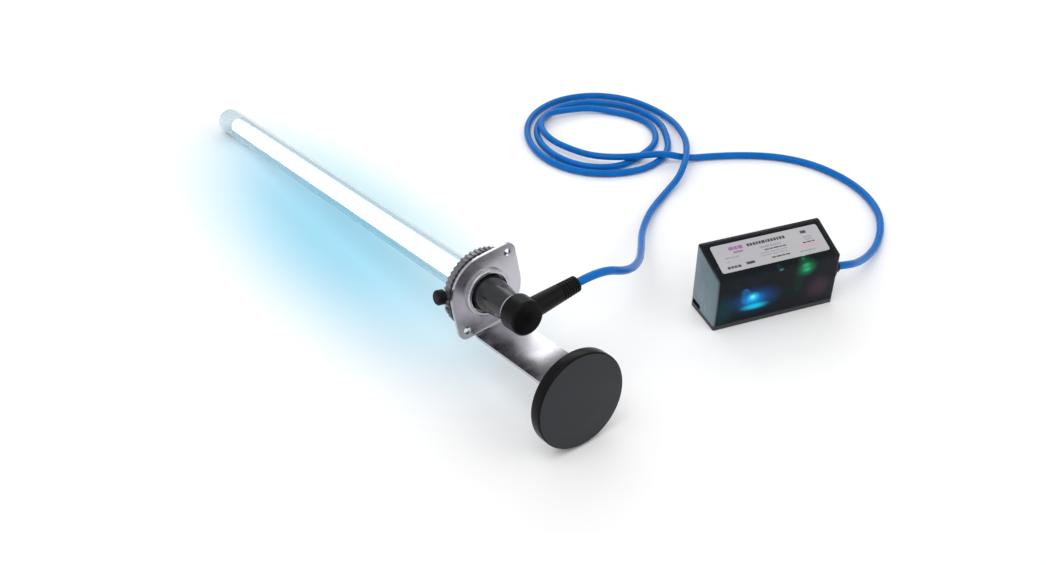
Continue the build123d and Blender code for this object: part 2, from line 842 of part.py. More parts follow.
inlet_plane = Plane(origin=(inlet_x, half_d, inlet_z), x_dir=(1, 0, 0), z_dir=(0, 1, 0))
inlet_lip = 1.2
with BuildPart() as inlet_grommet:
    with BuildSketch(inlet_plane.offset(-cover_wall)):
        Circle(inlet_d / 2)
    extrude(amount=cover_wall)
    with BuildSketch(inlet_plane):
        Circle(inlet_d / 2 + 1.2)
    extrude(amount=inlet_lip)
    with BuildSketch(inlet_plane.offset(-cover_wall)):
        Circle(inlet_d / 2 + 1.2)
    extrude(amount=-inlet_lip)
    with BuildSketch(inlet_plane.offset(-cover_wall - inlet_lip)):
        Circle(inlet_bore_d / 2)
    extrude(amount=cover_wall + 2 * inlet_lip, mode=Mode.SUBTRACT)
inlet_grommet.part.label = "inlet_grommet"
export_step(inlet_grommet.part, "parts/inlet_grommet.step")

# ---------------------------------------------------------------- circuit board and what it carries

board_w = spigot_w - 2 * board_gap
board_d = spigot_d - 2 * board_gap
board_top = board_z + board_t

with BuildPart() as circuit_board:
    with BuildSketch(Plane.XY.offset(board_z)):
        Rectangle(board_w, board_d)
        with GridLocations(2 * post_x, 2 * post_y, 2, 2):
            Circle(post_screw_r, mode=Mode.SUBTRACT)
    extrude(amount=board_t)
circuit_board.part.label = "circuit_board"
export_step(circuit_board.part, "parts/circuit_board.step")

board_screw_head_r = 2.2
board_screw_head_t = 1.3
with BuildPart() as board_screws:
    with BuildSketch(Plane.XY.offset(board_top)):
        with GridLocations(2 * post_x, 2 * post_y, 2, 2):
            Circle(board_screw_head_r)
    extrude(amount=board_screw_head_t)
    with BuildSketch(Plane.XY.offset(board_z - 4.0)):
        with GridLocations(2 * post_x, 2 * post_y, 2, 2):
            Circle(post_screw_r)
    extrude(amount=4.0 + board_t)
board_screws.part.label = "board_screws"
export_step(board_screws.part, "parts/board_screws.step")

core_w = 20.0
core_d = 15.0
core_h = 17.0
core_x = 8.0
core_leg = 4.0
with BuildPart() as ballast_core:
    with BuildSketch(Plane(origin=(core_x, 0, board_top + core_h / 2), x_dir=(1, 0, 0), z_dir=(0, -1, 0))):
        Rectangle(core_w, core_h)
        with Locations((-core_w / 4 + core_leg / 8, 0), (core_w / 4 - core_leg / 8, 0)):
            Rectangle(core_w / 4, core_h - 2 * core_leg, mode=Mode.SUBTRACT)
    extrude(amount=core_leg, both=True)
ballast_core.part.label = "ballast_core"
export_step(ballast_core.part, "parts/ballast_core.step")

window_w = core_w / 4
window_x = core_w / 4 - core_leg / 8
leg_half = window_x - window_w / 2
winding_r = 1.0
with BuildPart() as ballast_winding:
    with BuildSketch(Plane(origin=(core_x, 0, board_top + core_leg), x_dir=(1, 0, 0), z_dir=(0, 0, 1))):
        RectangleRounded(2 * (window_x + window_w / 2) - 0.6, core_d, winding_r)
        Rectangle(2 * leg_half, 2 * core_leg, mode=Mode.SUBTRACT)
    extrude(amount=core_h - 2 * core_leg)
ballast_winding.part.label = "ballast_winding"
export_step(ballast_winding.part, "parts/ballast_winding.step")

capacitor_r = 4.0
capacitor_h = 15.0
capacitor_x = -8.5
with BuildPart() as electrolytic_capacitors:
    with BuildSketch(Plane.XY.offset(board_top)):
        with Locations((capacitor_x, 4.2), (capacitor_x, -4.2)):
            Circle(capacitor_r)
    extrude(amount=capacitor_h)
    fillet(electrolytic_capacitors.edges().group_by(Axis.Z)[-1], radius=0.6)
electrolytic_capacitors.part.label = "electrolytic_capacitors"
export_step(electrolytic_capacitors.part, "parts/electrolytic_capacitors.step")

film_w = 6.0
film_d = 14.0
film_h = 11.0
film_x = -25.0
with BuildPart() as film_capacitor:
    with BuildSketch(Plane.XY.offset(board_top)):
        with Locations((film_x, -1.5)):
            Rectangle(film_w, film_d)
    extrude(amount=film_h)
    chamfer(film_capacitor.edges().filter_by(Axis.Z), length=0.5)
film_capacitor.part.label = "film_capacitor"
export_step(film_capacitor.part, "parts/film_capacitor.step")

fuse_x = -17.5
fuse_y = 4.0
fuse_r = 2.5
with BuildPart() as fuse:
    with BuildSketch(Plane(origin=(fuse_x, fuse_y - 6.0, board_top + fuse_r), x_dir=(1, 0, 0), z_dir=(0, 1, 0))):
        Circle(fuse_r)
    extrude(amount=12.0)
fuse.part.label = "fuse"
export_step(fuse.part, "parts/fuse.step")

sink_x = 23.5
sink_w = 3.0
sink_h = 18.0
fin_count = 4
with BuildPart() as heat_sink:
    with BuildSketch(Plane.XY.offset(board_top)):
        with Locations((sink_x, 1.0)):
            Rectangle(sink_w, 18.0)
        with Locations((sink_x + sink_w / 2 + 1.5, 1.0)):
            with GridLocations(1, 5.0, 1, fin_count):
                Rectangle(3.2, 1.2)
    extrude(amount=sink_h)
heat_sink.part.label = "heat_sink"
export_step(heat_sink.part, "parts/heat_sink.step")

with BuildPart() as power_transistors:
    with BuildSketch(Plane.XY.offset(board_top)):
        with Locations((sink_x - sink_w / 2 - 1.0, 5.5), (sink_x - sink_w / 2 - 1.0, -2.8)):
            Rectangle(2.0, 6.0)
    extrude(amount=12.0)
power_transistors.part.label = "power_transistors"
export_step(power_transistors.part, "parts/power_transistors.step")

terminal_x = -34.0
with BuildPart() as terminal_block:
    with BuildSketch(Plane.XY.offset(board_top)):
        with Locations((terminal_x, 0)):
            Rectangle(8.0, 12.0)
    extrude(amount=9.0)
    with BuildSketch(Plane.XY.offset(board_top + 9.0)):
        with Locations((terminal_x, 0)):
            with GridLocations(1, 5.0, 1, 2):
                Circle(1.6)
    extrude(amount=-2.5, mode=Mode.SUBTRACT)
terminal_block.part.label = "terminal_block"
export_step(terminal_block.part, "parts/terminal_block.step")

blue_led_x = -17.5
blue_led_y = -8.2
led_r = 2.5


def led(name, x, y, radius, height):
    """A domed light-emitting diode standing on the board."""
    with BuildPart() as piece:
        with BuildSketch(Plane.XY.offset(board_top)):
            with Locations((x, y)):
                Circle(radius)
        extrude(amount=height - radius)
        with BuildSketch(Plane(origin=(x, y, board_top + height - radius), x_dir=(1, 0, 0), z_dir=(0, -1, 0))):
            with BuildLine():
                Line((0, 0), (radius, 0))
                CenterArc((0, 0), radius, 0, 90)
                Line((0, radius), (0, 0))
            make_face()
        revolve(axis=Axis((x, y, 0), (0, 0, 1)))
    piece.part.label = name
    export_step(piece.part, f"parts/{name}.step")


led("blue_led", blue_led_x, blue_led_y, led_r, 9.0)
green_led_x = 19.0
green_led_y = -8.7
green_led_r = 1.5
green_led_h = 5.0
led("green_led", green_led_x, green_led_y, green_led_r, green_led_h)

pipe_r = 2.6
pipe_end = front_h - cover_wall - 0.6
with BuildPart() as green_light_pipe:
    with BuildSketch(Plane.XY.offset(board_top)):
        with Locations((green_led_x, green_led_y)):
            Circle(pipe_r)
    extrude(amount=pipe_end - board_top)
    with BuildSketch(Plane.XY.offset(board_top)):
        with Locations((green_led_x, green_led_y)):
            Circle(green_led_r + fit_gap)
    extrude(amount=green_led_h + fit_gap, mode=Mode.SUBTRACT)
green_light_pipe.part.label = "green_light_pipe"
export_step(green_light_pipe.part, "parts/green_light_pipe.step")
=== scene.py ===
"""Looks of the magnet-mounted germicidal lamp kit: quartz lamp, bracket, connector, lead and supply."""

import json
from math import cos, pi, radians, sin

import bmesh
import bpy
from bpy.props import FloatProperty, FloatVectorProperty, IntProperty, PointerProperty
from mathutils import Matrix, Quaternion, Vector

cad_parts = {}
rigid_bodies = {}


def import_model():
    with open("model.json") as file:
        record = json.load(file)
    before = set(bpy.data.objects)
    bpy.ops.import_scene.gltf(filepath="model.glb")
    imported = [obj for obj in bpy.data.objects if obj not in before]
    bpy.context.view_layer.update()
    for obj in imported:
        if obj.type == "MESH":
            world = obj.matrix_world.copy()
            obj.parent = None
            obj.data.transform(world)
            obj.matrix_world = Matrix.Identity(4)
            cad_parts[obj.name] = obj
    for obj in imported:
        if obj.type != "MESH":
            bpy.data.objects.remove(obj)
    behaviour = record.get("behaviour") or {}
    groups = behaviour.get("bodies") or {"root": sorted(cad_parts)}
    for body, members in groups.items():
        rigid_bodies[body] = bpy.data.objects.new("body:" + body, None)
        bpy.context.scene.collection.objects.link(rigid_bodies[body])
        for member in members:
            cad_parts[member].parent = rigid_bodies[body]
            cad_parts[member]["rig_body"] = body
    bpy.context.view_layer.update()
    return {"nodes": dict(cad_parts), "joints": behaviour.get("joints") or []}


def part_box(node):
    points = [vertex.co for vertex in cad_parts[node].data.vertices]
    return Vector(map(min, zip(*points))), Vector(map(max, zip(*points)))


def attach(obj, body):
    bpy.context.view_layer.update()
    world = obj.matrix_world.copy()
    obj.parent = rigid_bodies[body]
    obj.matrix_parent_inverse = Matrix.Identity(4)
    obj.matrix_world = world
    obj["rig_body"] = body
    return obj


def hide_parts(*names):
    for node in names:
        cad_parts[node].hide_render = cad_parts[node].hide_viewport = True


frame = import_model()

bl_info = {
    "name": "Germicidal lamp kit",
    "version": (1, 0, 0),
    "blender": (4, 5, 0),
    "location": "3D View > Sidebar > Lamp kit",
    "description": "Builds the looks of a quartz lamp, its magnet bracket, lead and power supply",
    "category": "Object",
}

MM = 0.001
nodes = frame["nodes"]
joints = {joint["name"]: joint for joint in frame["joints"]}

# ---------------------------------------------------------------- the lamp's own frame

KNOB_ANGLE = 163.0
RING_MIDDLE = -5.1
lamp_z = Vector(joints["lock_ring_turn"]["axis"]).normalized()
knob_out = Vector(joints["clamp_knob_turn"]["axis"]).normalized()
lamp_x = Quaternion(lamp_z, -radians(KNOB_ANGLE)) @ knob_out
lamp_y = lamp_z.cross(lamp_x)
lamp_origin = Vector(joints["lock_ring_turn"]["pos_m"]) - lamp_z * RING_MIDDLE * MM


def placed(origin, x_axis, y_axis, z_axis):
    """A matrix that takes a shape drawn in millimetres to its place in the frame."""
    matrix = Matrix((x_axis, y_axis, z_axis)).transposed().to_4x4()
    matrix.translation = origin
    return matrix @ Matrix.Scale(MM, 4)


lamp_place = placed(lamp_origin, lamp_x, lamp_y, lamp_z)


# ---------------------------------------------------------------- what a user may change


class LampKitSizes(bpy.types.PropertyGroup):
    """Sizes of the pieces made here, in metres."""

    cord_diameter: FloatProperty(
        name="Lead diameter", description="Diameter of the blue lead", default=0.005, unit="LENGTH"
    )
    edge_width: FloatProperty(
        name="Edge rounding", description="Rounding of the larger pieces", default=0.0003, unit="LENGTH"
    )
    points_per_turn: IntProperty(
        name="Points in a turn", description="Control points in each turn of the coiled lead", default=14
    )


class LampKitLooks(bpy.types.PropertyGroup):
    """Colours and brightness."""

    lead_colour: FloatVectorProperty(
        name="Lead colour", description="Colour of the lead's jacket", default=(0.0, 0.17, 0.60),
        subtype="COLOR", size=3,
    )
    glow_strength: FloatProperty(
        name="Lamp brightness", description="Emission strength of the lit discharge", default=2.4
    )
    glow_colour: FloatVectorProperty(
        name="Lamp light", description="Colour of the lit discharge", default=(0.80, 0.94, 1.0),
        subtype="COLOR", size=3,
    )
    # colour of the lamp's glow that is painted on the floor
    painted_glow_colour: FloatVectorProperty(
        name="Glow on the floor", description="Colour of the light that the lamp throws",
        default=(0.31, 0.68, 0.85), subtype="COLOR", size=3,
    )
    smoke_colour: FloatVectorProperty(
        name="Smoked cover", description="Colour of the supply's clear cover",
        default=(0.006, 0.009, 0.013), subtype="COLOR", size=3,
    )


def sizes():
    """The scene's sizes."""
    return bpy.context.scene.lamp_kit_sizes


def looks():
    """The scene's colours and brightness."""
    return bpy.context.scene.lamp_kit_looks


# ---------------------------------------------------------------- shader node groups


GRAIN_DETAIL = 4.0
GRAIN_DEPTH = 0.0001
SMEAR_SCALE = 60.0
SMEAR_DETAIL = 3.0
SMEAR_LOW, SMEAR_HIGH = 0.3, 0.7


def grain_group():
    """Fine noise over a surface: a mask, a roughness between two values, and a bumped normal."""
    name = "surface_grain"
    if name in bpy.data.node_groups:
        return bpy.data.node_groups[name]
    group = bpy.data.node_groups.new(name, "ShaderNodeTree")
    face = group.interface
    face.new_socket("Vector", in_out="INPUT", socket_type="NodeSocketVector")
    for socket in ("Scale", "Rough Low", "Rough High", "Bump"):
        face.new_socket(socket, in_out="INPUT", socket_type="NodeSocketFloat")
    face.new_socket("Mask", in_out="OUTPUT", socket_type="NodeSocketFloat")
    face.new_socket("Roughness", in_out="OUTPUT", socket_type="NodeSocketFloat")
    face.new_socket("Normal", in_out="OUTPUT", socket_type="NodeSocketVector")
    make = group.nodes.new
    entry, leave = make("NodeGroupInput"), make("NodeGroupOutput")
    noise, smear = make("ShaderNodeTexNoise"), make("ShaderNodeTexNoise")
    spread, bump = make("ShaderNodeMapRange"), make("ShaderNodeBump")
    noise.inputs["Detail"].default_value = GRAIN_DETAIL
    smear.inputs["Scale"].default_value = SMEAR_SCALE
    smear.inputs["Detail"].default_value = SMEAR_DETAIL
    spread.inputs["From Min"].default_value = SMEAR_LOW
    spread.inputs["From Max"].default_value = SMEAR_HIGH
    bump.inputs["Distance"].default_value = GRAIN_DEPTH
    link = group.links.new
    link(entry.outputs["Vector"], noise.inputs["Vector"])
    link(entry.outputs["Scale"], noise.inputs["Scale"])
    link(entry.outputs["Vector"], smear.inputs["Vector"])
    link(smear.outputs["Fac"], spread.inputs["Value"])
    link(entry.outputs["Rough Low"], spread.inputs["To Min"])
    link(entry.outputs["Rough High"], spread.inputs["To Max"])
    link(noise.outputs["Fac"], bump.inputs["Height"])
    link(entry.outputs["Bump"], bump.inputs["Strength"])
    link(smear.outputs["Fac"], leave.inputs["Mask"])
    link(spread.outputs["Result"], leave.inputs["Roughness"])
    link(bump.outputs["Normal"], leave.inputs["Normal"])
    return group


def colour_mix(tree, mask, low, high):
    """Mixes two colours by a mask. The low colour may be a socket."""
    mix = tree.nodes.new("ShaderNodeMix")
    mix.data_type = "RGBA"
    if isinstance(low, bpy.types.NodeSocket):
        tree.links.new(low, mix.inputs["A"])
    else:
        mix.inputs["A"].default_value = (*low, 1)
    mix.inputs["B"].default_value = (*high, 1)
    tree.links.new(mask, mix.inputs["Factor"])
    return mix.outputs["Result"]


def finish_of(name, light, dark, rough, grain, bump, sockets):
    """A surface whose colour and roughness drift a little, with a fine grain in its normal."""
    title = f"{name}_finish"
    if title in bpy.data.materials:
        return bpy.data.materials[title]
    material = bpy.data.materials.new(title)
    material.use_nodes = True
    tree = material.node_tree
    shader = tree.nodes["Principled BSDF"]
    where = tree.nodes.new("ShaderNodeTexCoord")
    grain_node = tree.nodes.new("ShaderNodeGroup")
    grain_node.node_tree = grain_group()
    grain_node.inputs["Scale"].default_value = grain
    grain_node.inputs["Rough Low"].default_value = rough[0]
    grain_node.inputs["Rough High"].default_value = rough[1]
    grain_node.inputs["Bump"].default_value = bump
    link = tree.links.new
    link(where.outputs["Object"], grain_node.inputs["Vector"])
    link(colour_mix(tree, grain_node.outputs["Mask"], dark, light), shader.inputs["Base Color"])
    link(grain_node.outputs["Roughness"], shader.inputs["Roughness"])
    link(grain_node.outputs["Normal"], shader.inputs["Normal"])
    for socket, value in sockets.items():
        shader.inputs[socket].default_value = value
    return material


# by name: light colour, dark colour, range of roughness, grain scale, bump, and other shader sockets
FINISHES = {
    "polished_stainless": (
        (0.60, 0.59, 0.63), (0.49, 0.48, 0.52), (0.20, 0.34), 900, 0.05,
        {"Metallic": 1.0},
    ),
    "turned_steel": ((0.60, 0.60, 0.62), (0.46, 0.46, 0.48), (0.18, 0.34), 1400, 0.10, {"Metallic": 1.0}),
    "zinc_plating": ((0.58, 0.58, 0.56), (0.44, 0.44, 0.44), (0.25, 0.42), 1200, 0.10, {"Metallic": 1.0}),
    "satin_black": (
        (0.005, 0.005, 0.006), (0.003, 0.003, 0.0035), (0.24, 0.36), 1600, 0.12,
        {"Specular IOR Level": 0.10},
    ),
    "gloss_black": (
        (0.018, 0.020, 0.023), (0.009, 0.010, 0.012), (0.12, 0.22), 1200, 0.06,
        {"Specular IOR Level": 0.4, "Coat Weight": 0.2},
    ),
    "moulded_rubber": ((0.050, 0.050, 0.053), (0.036, 0.036, 0.039), (0.55, 0.75), 2200, 0.25, {}),
    "relief_rubber": (
        (0.005, 0.005, 0.006), (0.003, 0.003, 0.004), (0.3, 0.45), 2200, 0.15,
        {"Specular IOR Level": 0.12},
    ),
    "magnet_rubber": (
        (0.031, 0.033, 0.038), (0.022, 0.024, 0.028), (0.5, 0.65), 2200, 0.2,
        {"Specular IOR Level": 0.25},
    ),
    "anodised_black": ((0.27, 0.27, 0.28), (0.14, 0.14, 0.15), (0.28, 0.42), 1500, 0.12, {"Metallic": 0.8}),
    "grey_moulding": ((0.42, 0.42, 0.44), (0.32, 0.32, 0.34), (0.35, 0.5), 1500, 0.15, {}),
    "white_ceramic": ((0.88, 0.87, 0.84), (0.78, 0.77, 0.73), (0.25, 0.4), 1600, 0.12, {}),
    "nickel_wire": ((0.50, 0.49, 0.47), (0.34, 0.33, 0.32), (0.28, 0.42), 2400, 0.1, {"Metallic": 1.0}),
    "bright_brass": ((0.78, 0.57, 0.22), (0.62, 0.42, 0.15), (0.2, 0.35), 1800, 0.1, {"Metallic": 1.0}),
    "nickel_plating": ((0.60, 0.59, 0.56), (0.48, 0.47, 0.45), (0.2, 0.36), 1400, 0.1, {"Metallic": 1.0}),
    "dark_case": ((0.022, 0.026, 0.032), (0.012, 0.015, 0.019), (0.3, 0.45), 1500, 0.15, {}),
    "board_mask": ((0.02, 0.10, 0.045), (0.012, 0.06, 0.03), (0.25, 0.4), 700, 0.15, {}),
    "grey_ferrite": ((0.06, 0.06, 0.065), (0.035, 0.035, 0.04), (0.5, 0.7), 1800, 0.3, {}),
    "winding_wire": ((0.60, 0.24, 0.07), (0.40, 0.15, 0.04), (0.3, 0.45), 2600, 0.6, {"Metallic": 0.6}),
    "shrink_sleeve": ((0.02, 0.03, 0.08), (0.01, 0.015, 0.045), (0.2, 0.35), 900, 0.1, {}),
    "film_case": ((0.55, 0.36, 0.04), (0.42, 0.27, 0.03), (0.25, 0.4), 1200, 0.1, {}),
    "plain_aluminium": ((0.68, 0.69, 0.70), (0.54, 0.55, 0.56), (0.3, 0.45), 1200, 0.15, {"Metallic": 1.0}),
    "terminal_green": ((0.03, 0.22, 0.07), (0.02, 0.15, 0.05), (0.3, 0.45), 1200, 0.12, {}),
    "fuse_glass": ((0.6, 0.63, 0.63), (0.5, 0.52, 0.52), (0.08, 0.15), 900, 0.03, {"Alpha": 0.6}),
    "light_guide": (
        (0.25, 0.9, 0.5), (0.15, 0.8, 0.4), (0.1, 0.2), 900, 0.03,
        {"Emission Color": (0.03, 0.75, 0.25, 1), "Emission Strength": 1.2},
    ),
    "blue_lens": (
        (0.1, 0.45, 1.0), (0.05, 0.3, 0.9), (0.1, 0.2), 900, 0.03,
        {"Emission Color": (0.02, 0.45, 1.0, 1), "Emission Strength": 14.0},
    ),
    "green_lens": (
        (0.1, 0.9, 0.4), (0.05, 0.8, 0.3), (0.1, 0.2), 900, 0.03,
        {"Emission Color": (0.02, 1.0, 0.3, 1), "Emission Strength": 10.0},
    ),
    "lamp_glass": (
        (0.90, 0.96, 1.0), (0.84, 0.93, 1.0), (0.03, 0.08), 300, 0.02,
        {"Transmission Weight": 1.0, "IOR": 1.46},
    ),
    # the cover's end walls: the same smoked plastic painted much lighter, as painted light
    "smoked_end_wall_painted_light": (
        (0.24, 0.32, 0.35), (0.10, 0.145, 0.17), (0.15, 0.28), 500, 0.05,
        {"Alpha": 0.92, "IOR": 1.5, "Specular IOR Level": 0.3},
    ),
    "label_silver": ((0.47, 0.47, 0.49), (0.41, 0.41, 0.43), (0.28, 0.4), 900, 0.06, {}),
    "label_ink": ((0.06, 0.06, 0.07), (0.04, 0.04, 0.05), (0.35, 0.45), 900, 0.05, {}),
    "label_grey_ink": ((0.32, 0.32, 0.35), (0.26, 0.26, 0.29), (0.35, 0.45), 900, 0.05, {}),
    "label_mauve_ink": ((0.36, 0.16, 0.36), (0.28, 0.12, 0.30), (0.35, 0.45), 900, 0.05, {}),
    "label_pink_ink": ((0.62, 0.38, 0.42), (0.55, 0.33, 0.38), (0.35, 0.45), 900, 0.05, {}),
}


def finish(name):
    """A plain finish out of the table."""
    return finish_of(name, *FINISHES[name])


QUARTZ_TINT = (0.25, 0.50, 0.58, 1)
QUARTZ_DENSITY = 110.0


def quartz():
    """Clear quartz that absorbs a little light, so that it darkens along its outline."""
    material = finish_of(
        "quartz", (0.93, 0.97, 0.99), (0.90, 0.95, 0.98), (0.01, 0.04), 300, 0.01,
        {"Transmission Weight": 1.0, "IOR": 1.46},
    )
    tree = material.node_tree
    body = tree.nodes.new("ShaderNodeVolumeAbsorption")
    body.inputs["Color"].default_value = QUARTZ_TINT
    body.inputs["Density"].default_value = QUARTZ_DENSITY
    tree.links.new(body.outputs["Volume"], tree.nodes["Material Output"].inputs["Volume"])
    return material


def lit_discharge():
    """The lamp's light."""
    return finish_of(
        "lit_discharge", (1.0, 1.0, 1.0), (0.9, 0.97, 1.0), (0.5, 0.6), 300, 0.02,
        {"Emission Color": (*looks().glow_colour, 1), "Emission Strength": looks().glow_strength},
    )


def spot_group():
    """A soft spot about a centre: 1 in the middle and 0 at its radii."""
    name = "light_spot"
    if name in bpy.data.node_groups:
        return bpy.data.node_groups[name]
    group = bpy.data.node_groups.new(name, "ShaderNodeTree")
    for socket in ("Vector", "Centre", "Radii"):
        group.interface.new_socket(socket, in_out="INPUT", socket_type="NodeSocketVector")
    group.interface.new_socket("Mask", in_out="OUTPUT", socket_type="NodeSocketFloat")
    make, link = group.nodes.new, group.links.new
    entry, leave = make("NodeGroupInput"), make("NodeGroupOutput")
    away, share, reach = (make("ShaderNodeVectorMath") for _ in range(3))
    away.operation, share.operation, reach.operation = "SUBTRACT", "DIVIDE", "LENGTH"
    fall = make("ShaderNodeMapRange")
    fall.interpolation_type = "SMOOTHERSTEP"
    fall.inputs["To Min"].default_value = 1.0
    fall.inputs["To Max"].default_value = 0.0
    link(entry.outputs["Vector"], away.inputs[0])
    link(entry.outputs["Centre"], away.inputs[1])
    link(away.outputs["Vector"], share.inputs[0])
    link(entry.outputs["Radii"], share.inputs[1])
    link(share.outputs["Vector"], reach.inputs[0])
    link(reach.outputs["Value"], fall.inputs["Value"])
    link(fall.outputs["Result"], leave.inputs["Mask"])
    return group


# painted light in the smoked cover, given as emission: glows of the lights behind it, and a painted
# highlight down the front-left edge (the last row): colour, centre and radii in millimetres
COVER_PAINTED_LIGHT = (
    ((0.0, 0.022, 0.030), (-36, -15, 14), (11, 30, 17)),
    ((0.034, 0.012, 0.024), (30, -15, 15), (14, 30, 13)),
    ((0.0, 0.055, 0.20), (-15, -15, 17), (24, 30, 13)),
    ((0.0, 0.20, 0.62), (-16, -15, 17.5), (11, 20, 7)),
    ((0.0, 0.62, 0.95), (-16.5, -15, 19), (5.8, 20, 5)),
    ((0.25, 0.86, 1.0), (-17, -15, 19.5), (2.6, 20, 2.2)),
    ((0.0, 0.55, 0.78), (-15, -15, 12), (13, 20, 3.4)),
    ((0.0, 0.17, 0.055), (19, -15, 32), (9, 20, 8)),
    ((0.01, 0.36, 0.14), (18, -15, 34.4), (4.2, 20, 2.6)),
    ((0.01, 0.42, 0.17), (19, -15, 31), (4.4, 20, 2.6)),
    ((0.03, 0.26, 0.22), (0.5, -15, 35.4), (2.6, 20, 1.2)),
    ((0.15, 0.20, 0.22), (-42, -15, 15), (1.7, 30, 45)),
)


def darker(colour, share):
    """A share of a colour's brightness."""
    return tuple(share * channel for channel in colour)


def smoked_cover():
    """Smoked plastic with painted light in it: glows of the lights behind it and an edge highlight, painted
    in as emission.
    """
    smoke = tuple(looks().smoke_colour)
    material = finish_of(
        "smoked_cover", smoke, darker(smoke, 0.6), (0.10, 0.20), 500, 0.05,
        {"Alpha": 0.90, "IOR": 1.5, "Specular IOR Level": 0.13, "Emission Strength": 1.0},
    )
    tree = material.node_tree
    link = tree.links.new
    where = tree.nodes.new("ShaderNodeTexCoord")
    colour = (0, 0, 0)
    # each spot paints light or a highlight into the cover's emission colour
    for shade, centre, radii in COVER_PAINTED_LIGHT:
        spot = tree.nodes.new("ShaderNodeGroup")
        spot.node_tree = spot_group()
        spot.inputs["Centre"].default_value = Vector(centre) * MM
        spot.inputs["Radii"].default_value = Vector(radii) * MM
        link(where.outputs["Object"], spot.inputs["Vector"])
        colour = colour_mix(tree, spot.outputs["Mask"], colour, shade)
    link(colour, tree.nodes["Principled BSDF"].inputs["Emission Color"])
    return material


def lead_jacket():
    """The lead's smooth jacket."""
    colour = tuple(looks().lead_colour)
    return finish_of(
        "lead_jacket", colour, darker(colour, 0.6), (0.20, 0.30), 900, 0.10, {"Specular IOR Level": 0.12}
    )


# ---------------------------------------------------------------- shaping


def new_piece(name, bm, body, material):
    """Closes a bmesh into an object that rides on a body."""
    mesh = bpy.data.meshes.new(name)
    bm.to_mesh(mesh)
    bm.free()
    piece = bpy.data.objects.new(name, mesh)
    bpy.context.scene.collection.objects.link(piece)
    mesh.materials.append(material)
    mesh.shade_smooth()
    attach(piece, body)
    return piece


HARD_ANGLE = 32.0
EDGE_SEGMENTS = 2
FLAT_ANGLE = 0.4
SAME_POINT = 1e-6
SAME_POINT_MM = 1e-4


def rounded_edges(piece, width, angle):
    """Rounds the hard edges with a modifier, and keeps the flats flat."""
    piece.data.set_sharp_from_angle(angle=radians(angle))
    bevel = piece.modifiers.new("edges", "BEVEL")
    bevel.width = width
    bevel.segments = EDGE_SEGMENTS
    bevel.limit_method = "ANGLE"
    bevel.angle_limit = radians(angle)
    bevel.harden_normals = True
    bevel.use_clamp_overlap = True
    return piece


def turned(name, profile, place, body, material, steps, width):
    """A turned piece: points (height, radius) in millimetres spun about the place's Z."""
    bm = bmesh.new()
    ring = [bm.verts.new((radius if radius > SAME_POINT else 0.0, 0, height)) for height, radius in profile]
    pairs = zip(ring, ring[1:] + ring[:1])
    # an edge that lies on the axis would only spin into a sliver
    edges = [bm.edges.new(pair) for pair in pairs if pair[0].co.x + pair[1].co.x > 0]
    bmesh.ops.spin(
        bm, geom=ring + edges, cent=(0, 0, 0), axis=(0, 0, 1), angle=2 * pi, steps=steps, use_merge=True
    )
    bmesh.ops.remove_doubles(bm, verts=bm.verts, dist=SAME_POINT_MM)
    bmesh.ops.recalc_face_normals(bm, faces=bm.faces)
    bm.transform(place)
    piece = new_piece(name, bm, body, material)
    return rounded_edges(piece, width, HARD_ANGLE)


def refined(node, material, width=None, angle=HARD_ANGLE):
    """The node's own shape with its hard edges rounded, standing in for it."""
    bm = bmesh.new()
    bm.from_mesh(nodes[node].data)
    bmesh.ops.remove_doubles(bm, verts=bm.verts, dist=SAME_POINT)
    bmesh.ops.dissolve_limit(bm, angle_limit=radians(FLAT_ANGLE), verts=bm.verts, edges=bm.edges)
    piece = new_piece(node + "_finished", bm, nodes[node]["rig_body"], material)
    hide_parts(node)
    return rounded_edges(piece, width or sizes().edge_width, angle)


def paint(node, material):
    """Gives a node that keeps its own shape a finish."""
    mesh = nodes[node].data
    mesh.materials.clear()
    mesh.materials.append(material)


# ---------------------------------------------------------------- lead

RELIEF_EXIT = (38.0, 0.0, 32.25)
COIL_CENTRE = (-7.0, 233.0)
COIL_START = -31.0
# how the loose turns lie: the angle wound so far, the distance from the middle, and the height
COIL_LAY = (
    (0, 63, 6.5), (40, 58, 2.6), (120, 64, 2.6), (200, 60, 2.6), (265, 65, 2.6), (312, 64, 2.6),
    (371, 50, 2.6), (430, 48, 2.6), (500, 53, 2.6), (570, 52.5, 2.6), (640, 57, 2.6), (680, 46, 2.6),
    (737, 42, 2.6), (800, 35, 2.6), (850, 39.5, 4.5), (890, 49.5, 7.6), (915, 49.5, 7.6), (960, 41.5, 5.5),
    (1005, 48, 7.4), (1041, 57.5, 7.8),
)


def coil_points():
    """The coil's turns, as points on one loose winding."""
    points = []
    step = 360.0 / sizes().points_per_turn
    total = COIL_LAY[-1][0]
    count = round(total / step)
    for index in range(1, count + 1):
        wound = total * index / count
        before = max(key for key in COIL_LAY if key[0] < wound)
        after = min(key for key in COIL_LAY if key[0] >= wound)
        share = (wound - before[0]) / (after[0] - before[0])
        share = share * share * (3 - 2 * share)
        reach = before[1] + share * (after[1] - before[1])
        height = before[2] + share * (after[2] - before[2])
        angle = radians(COIL_START + wound)
        points.append((COIL_CENTRE[0] + reach * cos(angle), COIL_CENTRE[1] + reach * sin(angle), height))
    return points


